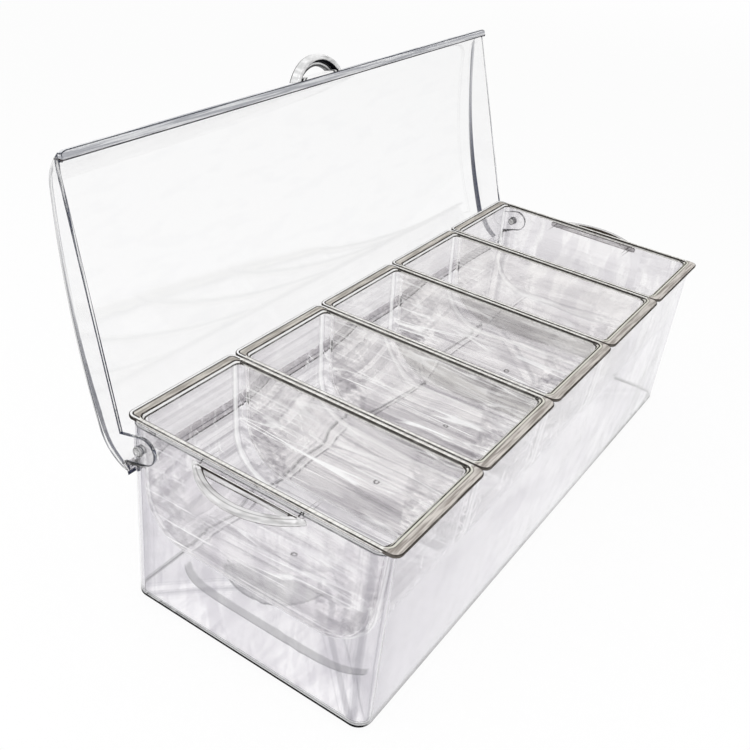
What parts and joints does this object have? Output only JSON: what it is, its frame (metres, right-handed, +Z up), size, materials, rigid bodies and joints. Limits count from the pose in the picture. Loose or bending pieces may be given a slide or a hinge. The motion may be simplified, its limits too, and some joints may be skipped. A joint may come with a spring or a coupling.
{
  "type": "condiment caddy",
  "caption": "Clear chilled condiment caddy: an ice box carries lift-out bins under one domed lid that swings open on two hinge pins, with loop handles.",
  "frame": {"origin": "middle of the flat face that the ice box stands on", "axes": "+X along the box to the right end, -Y the front, +Y the hinge side, +Z up; the lid is open at rest"},
  "size_m": [0.4236, 0.1989, 0.2425],
  "materials": {
    "box_clear": "clear, gloss, faint lavender tint",
    "bin_clear": "clear, gloss, rims faint warm grey",
    "lid_clear": "clear, gloss, almost colourless",
    "handle_clear": "clear, gloss, faint warm grey",
    "knob_clear": "clear, gloss",
    "pin_clear": "clear, gloss"
  },
  "bodies": {
    "box": {"ice_box": "box_clear", "left_handle": "handle_clear", "right_handle": "handle_clear", "hinge_pin_left": "pin_clear", "hinge_pin_right": "pin_clear"},
    "lid": {"lid": "lid_clear", "lid_knob": "knob_clear"},
    "bin_1": {"bin_1": "bin_clear"},
    "bin_2": {"bin_2": "bin_clear"},
    "bin_3": {"bin_3": "bin_clear"},
    "bin_4": {"bin_4": "bin_clear"},
    "bin_5": {"bin_5": "bin_clear"}
  },
  "joints": [
    {"name": "lid_hinge", "type": "hinge", "parent": "box", "child": "lid", "pos_m": [0, 0.0643, 0.0979], "axis": [-1, 0, 0], "range_deg": [-104, 0]},
    {"name": "bin_1_lift", "type": "slide", "parent": "box", "child": "bin_1", "axis": [0, 0, 1], "range_m": [0, 0.1]},
    {"name": "bin_2_lift", "type": "slide", "parent": "box", "child": "bin_2", "axis": [0, 0, 1], "range_m": [0, 0.1]},
    {"name": "bin_3_lift", "type": "slide", "parent": "box", "child": "bin_3", "axis": [0, 0, 1], "range_m": [0, 0.1]},
    {"name": "bin_4_lift", "type": "slide", "parent": "box", "child": "bin_4", "axis": [0, 0, 1], "range_m": [0, 0.1]},
    {"name": "bin_5_lift", "type": "slide", "parent": "box", "child": "bin_5", "axis": [0, 0, 1], "range_m": [0, 0.1]}
  ]
}
